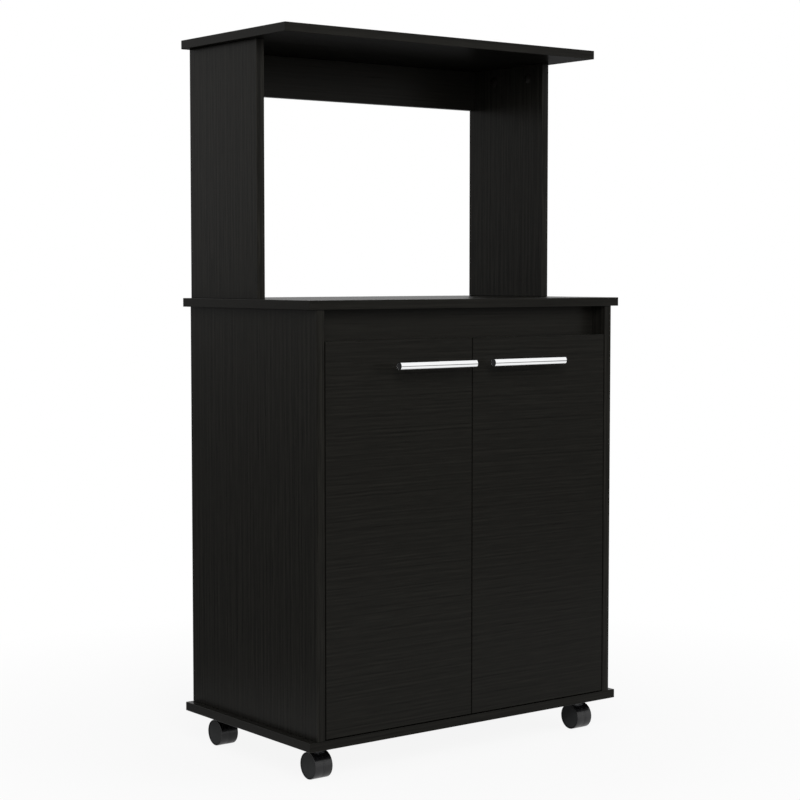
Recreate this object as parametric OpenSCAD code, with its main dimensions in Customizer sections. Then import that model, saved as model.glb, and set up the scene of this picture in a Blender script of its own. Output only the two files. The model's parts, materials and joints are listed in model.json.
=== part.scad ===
// Microwave cabinet on casters: a two door cupboard under a worktop, and a top shelf on two posts
// over an open bay. Boards are joined with cam locks, dowels and confirmat screws, the inset doors
// hang on concealed cup hinges, and four swivelling twin wheel casters carry the base board.
// X runs to the right, Y to the back and Z up, in millimetres. The origin is on the floor, under
// the middle of the whole cabinet.

/* [Boards] */
// Thickness of the melamine faced boards
board_t = 15; // [14:0.5:18]
// Width over the outer faces of the two side panels
carcass_w = 640; // [580:5:760]
// Depth of the two side panels
side_depth = 383; // [350:1:440]
// Height of the two side panels
side_h = 694; // [620:1:780]
// How far worktop, base board and top shelf stand past the side panels
side_overhang = 15; // [5:1:30]
// How far the worktop stands out in front of the side panels
worktop_nose = 3; // [0:0.5:15]
// Width of the small chamfer on every edge of a board
arris = 0.6; // [0.3:0.1:1.5]

/* [Upper part] */
// Height of the two posts between the worktop and the top shelf
post_h = 427; // [360:1:500]
// Depth of the two posts
post_depth = 210; // [180:1:260]
// How far the posts stand in from the back edge of the worktop
post_back_inset = 3; // [0:0.5:15]
// Depth of the top shelf, measured from the back edge of the worktop
top_depth = 319; // [270:1:360]
// Height of the rail between the posts at the back
apron_h = 73; // [60:1:100]

/* [Cupboard] */
// How far the front rail stands back from the side panels' front edges
rail_recess = 32; // [29:0.5:40]
// Height of the front rail
rail_h = 72; // [66:1:90]
// Distance of the hardboard back panel's grooves in from the back edges
back_inset = 8; // [6:0.5:14]
// Thickness of the hardboard back panel
back_t = 3; // [2.5:0.1:4]
// Depth of the grooves that hold the back panel
groove_d = 5; // [3:0.5:6]
// Height of the inner shelf's underside over the base board
shelf_height = 339; // [260:1:420]
// How far the inner shelf stands back from the side panels' front edges
shelf_front = 40; // [30:1:80]
// Gap at each end of the inner shelf and behind it
shelf_gap = 1; // [0.5:0.1:2]

/* [Doors] */
// Thickness of the two doors
door_t = 15; // [14.5:0.5:16]
// Gap all round and between the doors
door_gap = 2; // [1.5:0.1:3]
// Height of the open slot over the doors
slot_h = 50.5; // [44:0.5:54]
// Widest opening angle of a door
open_angle = 100; // [90:1:104]

/* [Handles] */
// Length of a handle bar
bar_l = 160; // [140:1:200]
// Diameter of a handle bar
bar_d = 13.5; // [11:0.5:15]
// Wall of the tube that a handle bar is made of
bar_wall = 1; // [0.8:0.1:2]
// Spacing of the two screws of a handle
handle_pitch = 96; // [64:1:112]
// Distance from the door face to the middle of the bar
handle_reach = 31.25; // [26:0.25:40]
// Diameter of a handle post
handle_post_d = 9; // [8:0.5:9.5]
// Distance from the meeting edge of a door to the end of its bar
handle_inset = 18.5; // [12:0.5:40]
// Distance from the top edge of a door down to the middle of its bar
handle_drop = 41.5; // [38:0.5:70]

/* [Hinges] */
// Distance from a door's top or bottom edge to the middle of a hinge
hinge_edge = 90; // [70:1:130]
// Diameter of the hinge cup
cup_d = 35; // [35:0.1:36]
// Depth of the hinge cup
cup_depth = 12; // [11.8:0.1:12.5]
// Wood left between the door's edge and the hinge cup
cup_edge = 4.5; // [4:0.1:5]
// Distance from the door's outer edge to the line that the door turns about
turn_x = 1.6; // [1.4:0.1:2]
// Reach of the hinge arm's nose from the line that the door turns about
nose_reach = 24.5; // [24:0.1:25.5]
// Distance from a side panel's front edge to the screws of a hinge plate, less the door
plate_setback = 37; // [37:0.5:45]
// Spacing of the two screws of a hinge plate
plate_pitch = 32; // [30:1:40]

/* [Casters] */
// Diameter of a caster wheel
wheel_d = 45; // [40:1:48]
// Width of one wheel of a pair
wheel_w = 15.5; // [13:0.5:18]
// Height from the top of a wheel to the underside of the base board
caster_rise = 13; // [12:0.5:20]
// Distance from the kingpin forward to the axle
trail = 12; // [10:0.5:14]
// Size of a square caster plate
plate_size = 38; // [36:1:44]
// Spacing of the four screws of a caster plate
plate_hole_pitch = 28; // [27:1:32]
// Distance from the base board's side edges to the kingpins
caster_side_inset = 47; // [44:1:70]
// Distance from the base board's front edge to the front kingpins
caster_front_inset = 62; // [50:1:80]
// Distance from the base board's back edge to the rear kingpins
caster_back_inset = 35; // [30:1:60]

/* [Hardware] */
// Diameter of a cam lock
cam_d = 15; // [14:0.5:16]
// Wood left under a cam lock
cam_floor = 2.7; // [2:0.1:3.5]
// Distance from a joint to the middle of its cam lock
cam_reach = 24; // [22:0.5:34]
// Length of a confirmat screw
confirmat_l = 50; // [45:1:60]
// Diameter of a wood dowel
dowel_d = 8; // [6:0.5:8]
// Length of a wood dowel
dowel_l = 30; // [26:1:36]
// Diameter of a shelf pin and of the holes for it
pin_d = 5; // [4:0.5:6]

/* [Clearances] */
// Radial clearance of a fixed piece in its hole
fit_gap = 0.1; // [0.05:0.01:0.2]
// Radial clearance of a turning piece on its pin
run_gap = 0.05; // [0.02:0.01:0.09]
// Gap between faces that pass each other
pass_gap = 0.3; // [0.2:0.1:0.4]

/* [Hidden] */
$fn = 48;

// Colours
wenge = "#25211e";
hardboard = "#4a3b2e";
black_plastic = "#1c1c1d";
wheel_plastic = "#2d2e30";
chrome = "#e4e6ea";
zinc = "#b9bcc0";
nickel = "#c4c2bb";
beech = "#c8a878";
ferrite = "#3a3c40";

// Heights
wheel_r = wheel_d / 2;
base_z0 = wheel_d + caster_rise;
base_z1 = base_z0 + board_t;
worktop_z0 = base_z1 + side_h;
worktop_z1 = worktop_z0 + board_t;
top_z0 = worktop_z1 + post_h;
top_z1 = top_z0 + board_t;
rail_z0 = worktop_z0 - rail_h;
apron_z0 = top_z0 - apron_h;
shelf_z0 = base_z1 + shelf_height;
door_z0 = base_z1 + door_gap;
door_z1 = worktop_z0 - slot_h;
bar_z = door_z1 - handle_drop;

// Widths
outer_x = carcass_w / 2;
inner_x = outer_x - board_t;
mid_x = outer_x - board_t / 2;
over_x = outer_x + side_overhang;
door_x0 = door_gap / 2;
door_x1 = inner_x - door_gap;

// Depths, with the handles in front and the boards' back edges behind at equal distances
handle_out = handle_reach + bar_d / 2;
front_y = (handle_out - side_depth) / 2;
back_y = front_y + side_depth;
post_back_y = back_y - post_back_inset;
post_front_y = post_back_y - post_depth;
top_front_y = back_y - top_depth;
rail_y0 = front_y + rail_recess;
rail_y1 = rail_y0 + board_t;
groove_y1 = back_y - back_inset;
groove_y0 = groove_y1 - back_t;
door_back_y = front_y + door_t;

// How much wider the round end of a flat bar is than the bar, on each side
end_swell = 0.05;

// How far a cut reaches past the face that it opens
past = 1;

// Pan heads: top face and cross slot as shares of the head's diameter and height
head_top_share = 0.7;
slot_l_share = 0.6;
slot_w_share = 0.4;
slot_h_share = 0.5;

// Directions used to place the fittings on the right hand side
down = [0, 0, -1];
outward = [1, 0, 0];
inward = [-1, 0, 0];
forward = [0, -1, 0];

// Places of the cam locks and dowels on the right hand side: a point on the joint, the way the
// bolt runs into the bored board, and the way the cam lock goes in
edge_inset = 80;
joint_pair = 32;
side_cam_y = [front_y + edge_inset, back_y - edge_inset];
post_cam_y = [post_front_y + edge_inset / 2, post_back_y - edge_inset / 2 - joint_pair];
rail_mid_z = (rail_z0 + worktop_z0) / 2;
apron_mid_z = (apron_z0 + top_z0) / 2;
side_cams = [for (y = side_cam_y) [[inner_x, y, worktop_z0], down, outward]];
post_cams = [for (y = post_cam_y) [[inner_x, y, top_z0], down, outward]];
rail_cams = [[[inner_x, rail_y1, rail_mid_z - joint_pair / 2], inward, forward]];
apron_cams = [[[inner_x, post_back_y, apron_mid_z - joint_pair / 2], inward, forward]];
side_dowels = [for (y = side_cam_y) [[inner_x, y + joint_pair * sign(-y), worktop_z0], down, outward]];
post_dowels = [for (y = post_cam_y) [[inner_x, y + joint_pair, top_z0], down, outward]];
rail_dowels = [[[inner_x, rail_y1, rail_mid_z + joint_pair / 2], inward, forward]];
apron_dowels = [[[inner_x, post_back_y, apron_mid_z + joint_pair / 2], inward, forward]];
all_cams = concat(side_cams, post_cams, rail_cams, apron_cams);
all_dowels = concat(side_dowels, post_dowels, rail_dowels, apron_dowels);

// Cam locks and their bolts
cam_h = board_t - cam_floor;
cam_slot = 7.4;
bolt_root_d = 5;
bolt_root_l = 10;
bolt_shaft_d = 6;
bolt_neck_d = 4;
bolt_head_d = 7;
bolt_head_l = 2.5;
bolt_bore_d = 8;
cross_l = 7;
cross_w = 1.3;
cross_h = 2;
cover_t = 0.8;
cover_rim = 1.5;
cover_plug_h = 1.5;
dowel_shallow = 10;

// Confirmat screws: countersunk head, neck in the outer board and thread in the edge of the next
screw_head_d = 10;
screw_neck_d = 7;
screw_head_h = 3;
screw_thread_d = 5.4;
hex_key = 4.6;
hex_depth = 2.5;
base_screw_y = [front_y + edge_inset, (front_y + back_y) / 2, back_y - edge_inset];
post_screw_y = [post_front_y + edge_inset / 2, post_back_y - edge_inset / 2];

// Shelf pins in rows of five holes, one row near each edge of the shelf
shelf_y0 = front_y + shelf_front;
shelf_y1 = groove_y0 - shelf_gap;
pin_z = shelf_z0 - pin_d / 2;
pin_in = 8;
pin_out = 9;
pin_w = 8;
pin_y = [shelf_y0 + edge_inset / 2, shelf_y1 - edge_inset / 2];
hole_rows = [-2:1:2];

// Magnetic catches: on the front of the rail, behind the doors' top edges
catch_w = 42;
catch_h = 14;
catch_drop = 6;
catch_x = 42;
strike_t = 1;
pole_out = 0.5;
magnet_w = 22;
magnet_h = 8;
catch_z = door_z1 - catch_drop - catch_h / 2;
catch_depth = rail_recess - door_t - strike_t - pass_gap - pole_out;
catch_screw_x = 16;
small_screw_d = 3.2;
small_head_d = 6.4;
small_head_h = 2;
small_screw_l = 11;

// Handles
handle_x = -(door_x0 + handle_inset + bar_l / 2);
handle_screw_d = 4;
handle_thread_l = 14;
handle_head_d = 8;
handle_head_h = 2.6;
plug_l = 5;
plug_dish = 0.4;

// Hinges, in a frame of their own: x runs from the closed door's outer edge over the door, y from
// its face to the back, and z from the middle of the hinge. The door turns about turn_p. The
// link's pin sits in the cup and its far end meets the nose when the door is shut and when it is
// fully open, so the nose lies half way round between the pin's two places.
hinge_z = [door_z0 + hinge_edge, door_z1 - hinge_edge];
turn_p = [turn_x, 0];
cup_wall = 0.8;
cup_x = cup_edge + cup_d / 2;
cup_pin_in = 3.8;
cup_pin_drop = 1;
cup_pin = [cup_edge + cup_pin_in, door_t - cup_pin_drop];
pin_angle = atan2(cup_pin.y - turn_p.y, cup_pin.x - turn_p.x);
nose_angle = pin_angle - open_angle / 2;
nose_p = turn_p + nose_reach * [cos(nose_angle), sin(nose_angle)];
link_l = norm(nose_p - cup_pin);
link_angle = atan2(nose_p.y - cup_pin.y, nose_p.x - cup_pin.x);
link_bend = [2.5, -3.4];
link_w = 3;
link_bar_w = link_w - 2 * end_swell;
link_t = 1.2;
link_eye_r = 1.9;
nose_half = 3.3;
link_z = nose_half + pass_gap;
cup_pin_r = 1.1;
sleeve_r = 1.7;
arm_half = 6;
arm_sheet = 1.4;
arm_x1 = 9;
arm_y0 = 24;
nose_root = [7, 26];
nose_w = 3.6;
nose_eye_r = 1.9;
plate_y = plate_setback + door_t;
plate_sheet = 2;
plate_front = 22;
plate_back = 32;
plate_y0 = plate_y - plate_front;
plate_y1 = plate_y + plate_back;
plate_half = 7.5;
wing_r = 7;
plate_lip = 2;
arm_y1 = plate_y1 - plate_lip;
spine_half = 4.3;
spine_h = 5;
spine_y0 = plate_y0 + plate_lip;
spine_y1 = arm_y1 - plate_lip;
arm_screw_in = 12;
clamp_y = plate_y1 - arm_screw_in;
adjust_y = plate_y0 + arm_screw_in;
arm_screw_d = 5;
arm_head_d = 8;
arm_head_h = 2.4;
flange_t = 1.2;
flange_r = 6;
flange_rim = 1;
flange_cut_x = cup_x - cup_d / 6;
cup_screw_pitch = 48;
cup_screw_back = 6;
cup_screw_x = cup_x + cup_screw_back;
cup_screw_l = 12;
plate_screw_l = 12;

// Casters
caster_x = over_x - caster_side_inset;
front_pin_y = front_y + caster_front_inset;
rear_pin_y = back_y - caster_back_inset;
front_axle_y = front_pin_y - trail;
rear_axle_y = rear_pin_y - trail;
web_t = 2.4;
web_inset = 0.8;
web_r = wheel_r - web_inset;
wheel_x0 = web_t / 2 + pass_gap;
wheel_x1 = wheel_x0 + wheel_w;
axle_r = 3;
axle_cover = 2.5;
axle_end = wheel_x1 - axle_cover;
hub_r = 6;
rim_t = 3;
disc_t = 2.2;
face_dish = 0.7;
lip_w = 2.2;
tread_round = 1;
seam_round = 0.3;
rib_t = 1.2;
rib_count = 6;
rib_x0 = wheel_x0 + wheel_w / 3;
round_fn = 96;
caster_plate_t = 2.2;
collar_t = 1.2;
collar_r = 6;
kingpin_r = 4;
boss_r = 8.5;
boss_clear = 0.6;
boss_cut_r = wheel_r + boss_clear;
boss_top = base_z0 - caster_plate_t - collar_t - pass_gap;
neck_in = 1;
neck_half = boss_r - neck_in;
neck_h = boss_top - neck_in - wheel_r;
kingpin_cover = 1.6;
kingpin_tip = wheel_r + sqrt(boss_cut_r * boss_cut_r - pow(trail - kingpin_r, 2)) + kingpin_cover;

// Rectangle with its four corners cut off
module cut_rect(w, h) {
    polygon([
        [arris, 0], [w - arris, 0], [w, arris], [w, h - arris],
        [w - arris, h], [arris, h], [0, h - arris], [0, arris]
    ]);
}

// Board between two corners, with a small chamfer on all its edges
module board(lo, hi) {
    size = hi - lo;
    translate(lo)
        intersection() {
            linear_extrude(size.z) cut_rect(size.x, size.y);
            translate([0, size.y, 0])
                rotate([90, 0, 0]) linear_extrude(size.y) cut_rect(size.x, size.z);
            rotate([90, 0, 90]) linear_extrude(size.x) cut_rect(size.y, size.z);
        }
}

// Plain box between two corners
module block(lo, hi) {
    translate(lo) cube(hi - lo);
}

// The same fitting on the right and the left
module both_sides() {
    children();
    mirror([1, 0, 0]) children();
}

// Turns and moves the children so that their x and z axes run along two given directions
module stand(point, x_dir, z_dir) {
    y_dir = cross(z_dir, x_dir);
    multmatrix([
        [x_dir.x, y_dir.x, z_dir.x, point.x],
        [x_dir.y, y_dir.y, z_dir.y, point.y],
        [x_dir.z, y_dir.z, z_dir.z, point.z]
    ]) children();
}

// Puts the children at each place of a list of cam or dowel joints
module at_joints(places) {
    for (p = places) stand(p[0], p[1], p[2]) children();
}

// Cylinder along the x axis
module rod_x(d, x0, x1) {
    translate([x0, 0, 0]) rotate([0, 90, 0]) cylinder(d = d, h = x1 - x0);
}

// Cylinder along the y axis
module rod_y(d, y0, y1) {
    translate([0, y0, 0]) rotate([-90, 0, 0]) cylinder(d = d, h = y1 - y0);
}

// Flat bar with square ends between two points of a plane
module bar_flat(a, b, w) {
    run = b - a;
    translate(a)
        rotate(atan2(run.y, run.x)) translate([0, -w / 2]) square([norm(run), w]);
}

// Flat bar with round ends
module strip(a, b, w) {
    bar_flat(a, b, w - 2 * end_swell);
    for (p = [a, b]) translate(p) circle(d = w);
}

// Cam joint pieces: x runs along the bolt from the joint, z into the board from its bored face
module cam_lock() {
    difference() {
        translate([cam_reach, 0, 0]) cylinder(d = cam_d, h = cam_h - fit_gap);
        translate([cam_reach - cam_d, -cam_slot / 2, board_t / 2 - cam_slot / 2])
            cube([cam_d + bolt_head_l / 2, cam_slot, cam_slot]);
        translate([cam_reach - cross_l / 2, -cross_w / 2, -past]) cube([cross_l, cross_w, cross_h + past]);
        translate([cam_reach - cross_w / 2, -cross_l / 2, -past]) cube([cross_w, cross_l, cross_h + past]);
    }
}

// Cap over a cam lock: a thin disc with a cross that plugs the lock's slot
module cam_cover() {
    cross = [cross_l - 2 * fit_gap, cross_w - 2 * fit_gap, cover_t / 2 + cover_plug_h];
    translate([cam_reach, 0, 0]) {
        translate([0, 0, -cover_t]) cylinder(d = cam_d + 2 * cover_rim, h = cover_t);
        for (turn = [0, 90])
            rotate(turn) translate([-cross.x / 2, -cross.y / 2, -cover_t / 2]) cube(cross);
    }
}

module cam_bolt() {
    head_x = cam_reach - bolt_head_l;
    neck_x = head_x - bolt_head_l;
    translate([0, 0, board_t / 2]) {
        rod_x(bolt_root_d, -bolt_root_l, 0);
        rod_x(bolt_shaft_d, 0, neck_x);
        rod_x(bolt_neck_d, neck_x, head_x);
        rod_x(bolt_head_d, head_x, head_x + bolt_head_l);
    }
}

module cam_bores() {
    translate([cam_reach, 0, -past]) cylinder(d = cam_d + 2 * fit_gap, h = cam_h + past);
    translate([0, 0, board_t / 2]) rod_x(bolt_bore_d, -past, cam_reach);
}

module bolt_bore() {
    translate([0, 0, board_t / 2])
        rod_x(bolt_root_d + 2 * fit_gap, -bolt_root_l - fit_gap, past);
}

module dowel() {
    translate([0, 0, board_t / 2]) rod_x(dowel_d, -dowel_shallow, dowel_l - dowel_shallow);
}

module dowel_bore() {
    translate([0, 0, board_t / 2])
        rod_x(dowel_d + 2 * fit_gap, -dowel_shallow - fit_gap, dowel_l - dowel_shallow + fit_gap);
}

// Confirmat screw standing on its head, and the stepped hole for it
module confirmat(gap = 0) {
    cylinder(d1 = screw_head_d + 2 * gap, d2 = screw_neck_d + 2 * gap, h = screw_head_h);
    cylinder(d = screw_neck_d + 2 * gap, h = board_t - gap);
    cylinder(d = screw_thread_d + 2 * gap, h = confirmat_l + gap);
}

module confirmat_screw() {
    difference() {
        confirmat();
        translate([0, 0, -past]) cylinder(d = hex_key, h = hex_depth + past, $fn = 6);
    }
}

module at_base_screws() {
    for (y = base_screw_y) translate([mid_x, y, base_z0]) children();
}

module at_post_screws() {
    for (y = post_screw_y) translate([mid_x, y, worktop_z0]) children();
}

// Pan head screw along +z from the face that it holds, with a cross slot in its head
module pan_screw(d, l, head_d, head_h) {
    slot = [head_d * slot_l_share, head_h * slot_w_share, head_h * slot_h_share + past];
    difference() {
        union() {
            cylinder(d = d, h = l);
            translate([0, 0, -head_h]) cylinder(d1 = head_d * head_top_share, d2 = head_d, h = head_h);
        }
        for (turn = [0, 90])
            rotate(turn) translate([-slot.x / 2, -slot.y / 2, -head_h - past]) cube(slot);
    }
}

// Right hand side panel with every hole that is bored in it
module side_panel() {
    difference() {
        board([inner_x, front_y, base_z1], [outer_x, back_y, worktop_z0]);
        at_joints(side_cams) cam_bores();
        at_joints(side_dowels) dowel_bore();
        at_joints(rail_cams) bolt_bore();
        at_joints(rail_dowels) dowel_bore();
        at_base_screws() confirmat(fit_gap);
        back_groove();
        for (y = pin_y, row = hole_rows)
            translate([inner_x, y, pin_z + row * joint_pair])
                rod_x(pin_d + 2 * fit_gap, -past, pin_in + fit_gap);
        mirror([1, 0, 0])
            at_left_hinges() plate_screw_places()
                rod_x(small_screw_d + 2 * fit_gap, -plate_screw_l - door_gap, 0);
    }
}

// Space that the back panel and its grooves take
module back_groove() {
    block([-inner_x - groove_d, groove_y0 - fit_gap, base_z1 - groove_d],
          [inner_x + groove_d, groove_y1 + fit_gap, worktop_z0 + groove_d]);
}

module left_side_panel() {
    color(wenge) mirror([1, 0, 0]) side_panel();
}

module right_side_panel() {
    color(wenge) side_panel();
}

module base_board() {
    color(wenge)
        difference() {
            board([-over_x, front_y, base_z0], [over_x, back_y, base_z1]);
            both_sides() at_base_screws() confirmat(fit_gap);
            back_groove();
            at_casters() at_plate_screws()
                cylinder(d = small_screw_d + 2 * fit_gap, h = small_screw_l + fit_gap);
        }
}

module worktop() {
    color(wenge)
        difference() {
            board([-over_x, front_y - worktop_nose, worktop_z0], [over_x, back_y, worktop_z1]);
            both_sides() {
                at_post_screws() confirmat(fit_gap);
                at_joints(side_cams) bolt_bore();
                at_joints(side_dowels) dowel_bore();
            }
            back_groove();
        }
}

module front_rail() {
    color(wenge)
        difference() {
            board([-inner_x, rail_y0, rail_z0], [inner_x, rail_y1, worktop_z0]);
            both_sides() {
                at_joints(rail_cams) cam_bores();
                at_joints(rail_dowels) dowel_bore();
                at_catch_screws() rod_y(small_screw_d + 2 * fit_gap, -past, small_screw_l + fit_gap);
            }
        }
}

// The back panel stands in grooves on all four sides
module back_panel() {
    color(hardboard)
        block([-inner_x - groove_d + fit_gap, groove_y0, base_z1 - groove_d + fit_gap],
              [inner_x + groove_d - fit_gap, groove_y1, worktop_z0 + groove_d - fit_gap]);
}

module inner_shelf() {
    color(wenge)
        board([-inner_x + shelf_gap, shelf_y0, shelf_z0],
              [inner_x - shelf_gap, shelf_y1, shelf_z0 + board_t]);
}

// Right hand post
module post() {
    difference() {
        board([inner_x, post_front_y, worktop_z1], [outer_x, post_back_y, top_z0]);
        at_post_screws() confirmat(fit_gap);
        at_joints(post_cams) cam_bores();
        at_joints(post_dowels) dowel_bore();
        at_joints(apron_cams) bolt_bore();
        at_joints(apron_dowels) dowel_bore();
    }
}

module left_post() {
    color(wenge) mirror([1, 0, 0]) post();
}

module right_post() {
    color(wenge) post();
}

module top_shelf() {
    color(wenge)
        difference() {
            board([-over_x, top_front_y, top_z0], [over_x, back_y, top_z1]);
            both_sides() {
                at_joints(post_cams) bolt_bore();
                at_joints(post_dowels) dowel_bore();
            }
        }
}

module apron_rail() {
    color(wenge)
        difference() {
            board([-inner_x, post_back_y - board_t, apron_z0], [inner_x, post_back_y, top_z0]);
            both_sides() {
                at_joints(apron_cams) cam_bores();
                at_joints(apron_dowels) dowel_bore();
            }
        }
}

module panel_screws() {
    color(zinc)
        both_sides() {
            at_base_screws() confirmat_screw();
            at_post_screws() confirmat_screw();
        }
}

module cam_locks() {
    color(zinc) both_sides() at_joints(all_cams) cam_lock();
}

// The cam locks that can be seen from outside, on the posts and on the apron rail, are capped
module cam_covers() {
    color(black_plastic) both_sides() at_joints(concat(post_cams, apron_cams)) cam_cover();
}

module cam_bolts() {
    color(nickel) both_sides() at_joints(all_cams) cam_bolt();
}

module dowels() {
    color(beech) both_sides() at_joints(all_dowels) dowel();
}

// Each shelf pin is a peg in the panel with a flat topped tab under the shelf
module shelf_pins() {
    color(nickel)
        both_sides() for (y = pin_y)
            translate([inner_x, y, 0]) {
                translate([0, 0, pin_z]) rod_x(pin_d, -pin_out / 2, pin_in);
                block([-pin_out, -pin_w / 2, shelf_z0 - pin_d], [0, pin_w / 2, shelf_z0]);
            }
}

// Magnetic catches on the front of the rail
module at_catch() {
    translate([catch_x, rail_y0, catch_z]) children();
}

module at_catch_screws() {
    for (x = [-catch_screw_x, catch_screw_x]) at_catch() translate([x, 0, 0]) children();
}

module catch_housings() {
    color(black_plastic)
        both_sides()
            difference() {
                at_catch()
                    block([-catch_w / 2, -catch_depth, -catch_h / 2], [catch_w / 2, 0, catch_h / 2]);
                at_catch()
                    block([-magnet_w / 2 - fit_gap, -catch_depth - past, -magnet_h / 2 - fit_gap],
                          [magnet_w / 2 + fit_gap, -catch_depth / 2, magnet_h / 2 + fit_gap]);
                at_catch_screws() {
                    rod_y(small_screw_d + 2 * fit_gap, -catch_depth - past, past);
                    rod_y(small_head_d + 2 * fit_gap, -catch_depth - past, -catch_depth / 2);
                }
            }
}

module catch_magnets() {
    color(ferrite)
        both_sides() at_catch()
            block([-magnet_w / 2, -catch_depth - pole_out, -magnet_h / 2],
                  [magnet_w / 2, -catch_depth / 2, magnet_h / 2]);
}

module catch_screws() {
    color(zinc)
        both_sides() at_catch_screws()
            translate([0, -catch_depth / 2, 0])
                rotate([-90, 0, 0])
                    pan_screw(small_screw_d, small_screw_l + catch_depth / 2, small_head_d, small_head_h);
}

// Strike plate on a door's back, with the screw that holds it
module catch_strike() {
    translate([catch_x, door_back_y, catch_z]) {
        block([-magnet_w / 2, 0, -magnet_h / 2], [magnet_w / 2, strike_t, magnet_h / 2]);
        rod_y(small_screw_d, -door_t / 2, 0);
    }
}

module left_catch_strike() {
    color(zinc) mirror([1, 0, 0]) catch_strike();
}

module right_catch_strike() {
    color(zinc) catch_strike();
}

// Puts the children in the frame of each left hand hinge
module at_left_hinges() {
    for (z = hinge_z) translate([-door_x1, front_y, z]) children();
}

module plate_screw_places() {
    for (z = [-plate_pitch / 2, plate_pitch / 2]) translate([0, plate_y, z]) children();
}

module cup_screw_places() {
    for (z = [-cup_screw_pitch / 2, cup_screw_pitch / 2]) translate([cup_screw_x, door_t, z]) children();
}

// Left hand door with its bores for cups, handle and strike
module door() {
    difference() {
        board([-door_x1, front_y, door_z0], [-door_x0, door_back_y, door_z1]);
        at_left_hinges() {
            translate([cup_x, 0, 0]) rod_y(cup_d + 2 * fit_gap, door_t - cup_depth - fit_gap, door_t + past);
            cup_screw_places() rod_y(small_screw_d + 2 * fit_gap, -cup_screw_l - fit_gap, past);
        }
        at_handle_posts() rod_y(handle_screw_d + 2 * fit_gap, -past, door_t + past);
        mirror([1, 0, 0])
            translate([catch_x, door_back_y, catch_z])
                rod_y(small_screw_d + 2 * fit_gap, -door_t / 2 - fit_gap, past);
    }
}

module left_door() {
    color(wenge) door();
}

module right_door() {
    color(wenge) mirror([1, 0, 0]) door();
}

// Handle on the left hand door: a tube on two posts, plugged at its ends
module at_handle() {
    translate([handle_x, front_y, bar_z]) children();
}

module at_handle_posts() {
    for (x = [-handle_pitch / 2, handle_pitch / 2]) at_handle() translate([x, 0, 0]) children();
}

module handle_bar() {
    at_handle() translate([0, -handle_reach, 0])
        difference() {
            rod_x(bar_d, -bar_l / 2, bar_l / 2);
            rod_x(bar_d - 2 * bar_wall, -bar_l / 2 - past, bar_l / 2 + past);
        }
}

module handle_end_plugs() {
    at_handle() translate([0, -handle_reach, 0])
        both_sides()
            difference() {
                rod_x(bar_d - 2 * bar_wall - 2 * fit_gap, bar_l / 2 - plug_l, bar_l / 2);
                rod_x(bar_d / 2, bar_l / 2 - plug_dish, bar_l / 2 + past);
            }
}

module handle_posts() {
    difference() {
        at_handle_posts() rod_y(handle_post_d, -handle_reach, 0);
        at_handle() translate([0, -handle_reach, 0]) rod_x(bar_d, -bar_l / 2, bar_l / 2);
        at_handle_posts() rod_y(handle_screw_d + 2 * fit_gap, -handle_thread_l - fit_gap, past);
    }
}

module handle_screws() {
    at_handle_posts() translate([0, door_t, 0])
        rotate([90, 0, 0])
            pan_screw(handle_screw_d, door_t + handle_thread_l, handle_head_d, handle_head_h);
}

module left_handle_bar() {
    color(chrome) handle_bar();
}

module right_handle_bar() {
    color(chrome) mirror([1, 0, 0]) handle_bar();
}

module left_handle_posts() {
    color(chrome) handle_posts();
}

module right_handle_posts() {
    color(chrome) mirror([1, 0, 0]) handle_posts();
}

module left_handle_end_plugs() {
    color(black_plastic) handle_end_plugs();
}

module right_handle_end_plugs() {
    color(black_plastic) mirror([1, 0, 0]) handle_end_plugs();
}

module left_handle_screws() {
    color(zinc) handle_screws();
}

module right_handle_screws() {
    color(zinc) mirror([1, 0, 0]) handle_screws();
}

// Hinge cup pressed in the door: a thin bowl, a flange with two screw ears and the link's pin
module hinge_cup() {
    difference() {
        union() {
            translate([cup_x, 0, 0]) rod_y(cup_d, door_t - cup_depth, door_t);
            translate([0, door_t + flange_t, 0])
                rotate([90, 0, 0]) linear_extrude(flange_t) flange_outline();
        }
        translate([cup_x, 0, 0])
            rod_y(cup_d - 2 * cup_wall, door_t - cup_depth + cup_wall, door_t + flange_t + past);
        cup_screw_places() rod_y(small_screw_d + 2 * fit_gap, -past, flange_t + past);
    }
    intersection() {
        translate([cup_pin.x, cup_pin.y, -cup_d / 2]) cylinder(r = cup_pin_r, h = cup_d);
        translate([cup_x, 0, 0]) rod_y(cup_d - cup_wall, door_t - cup_depth, door_t + flange_t);
    }
}

module flange_outline() {
    strip([cup_screw_x, -cup_screw_pitch / 2], [cup_screw_x, cup_screw_pitch / 2], 2 * flange_r);
    intersection() {
        translate([cup_x, 0]) circle(d = cup_d + 2 * flange_rim);
        translate([flange_cut_x, -cup_d]) square([cup_d, 2 * cup_d]);
    }
}

module left_hinge_cups() {
    color(nickel) at_left_hinges() hinge_cup();
}

module right_hinge_cups() {
    color(nickel) mirror([1, 0, 0]) at_left_hinges() hinge_cup();
}

module cup_screws() {
    at_left_hinges() cup_screw_places() translate([0, flange_t, 0])
        rotate([90, 0, 0])
            pan_screw(small_screw_d, cup_screw_l + flange_t, small_head_d, small_head_h);
}

module left_hinge_cup_screws() {
    color(nickel) cup_screws();
}

module right_hinge_cup_screws() {
    color(nickel) mirror([1, 0, 0]) cup_screws();
}

// Link: two cranked straps outside the arm's nose, joined by a sleeve round the cup's pin
module link_outline() {
    pin_end = [0, 0];
    far_end = [link_l, 0];
    bar_flat(pin_end, link_bend, link_bar_w);
    bar_flat(link_bend, far_end, link_bar_w);
    translate(link_bend) circle(d = link_w);
    for (p = [pin_end, far_end]) translate(p) circle(r = link_eye_r);
}

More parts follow.
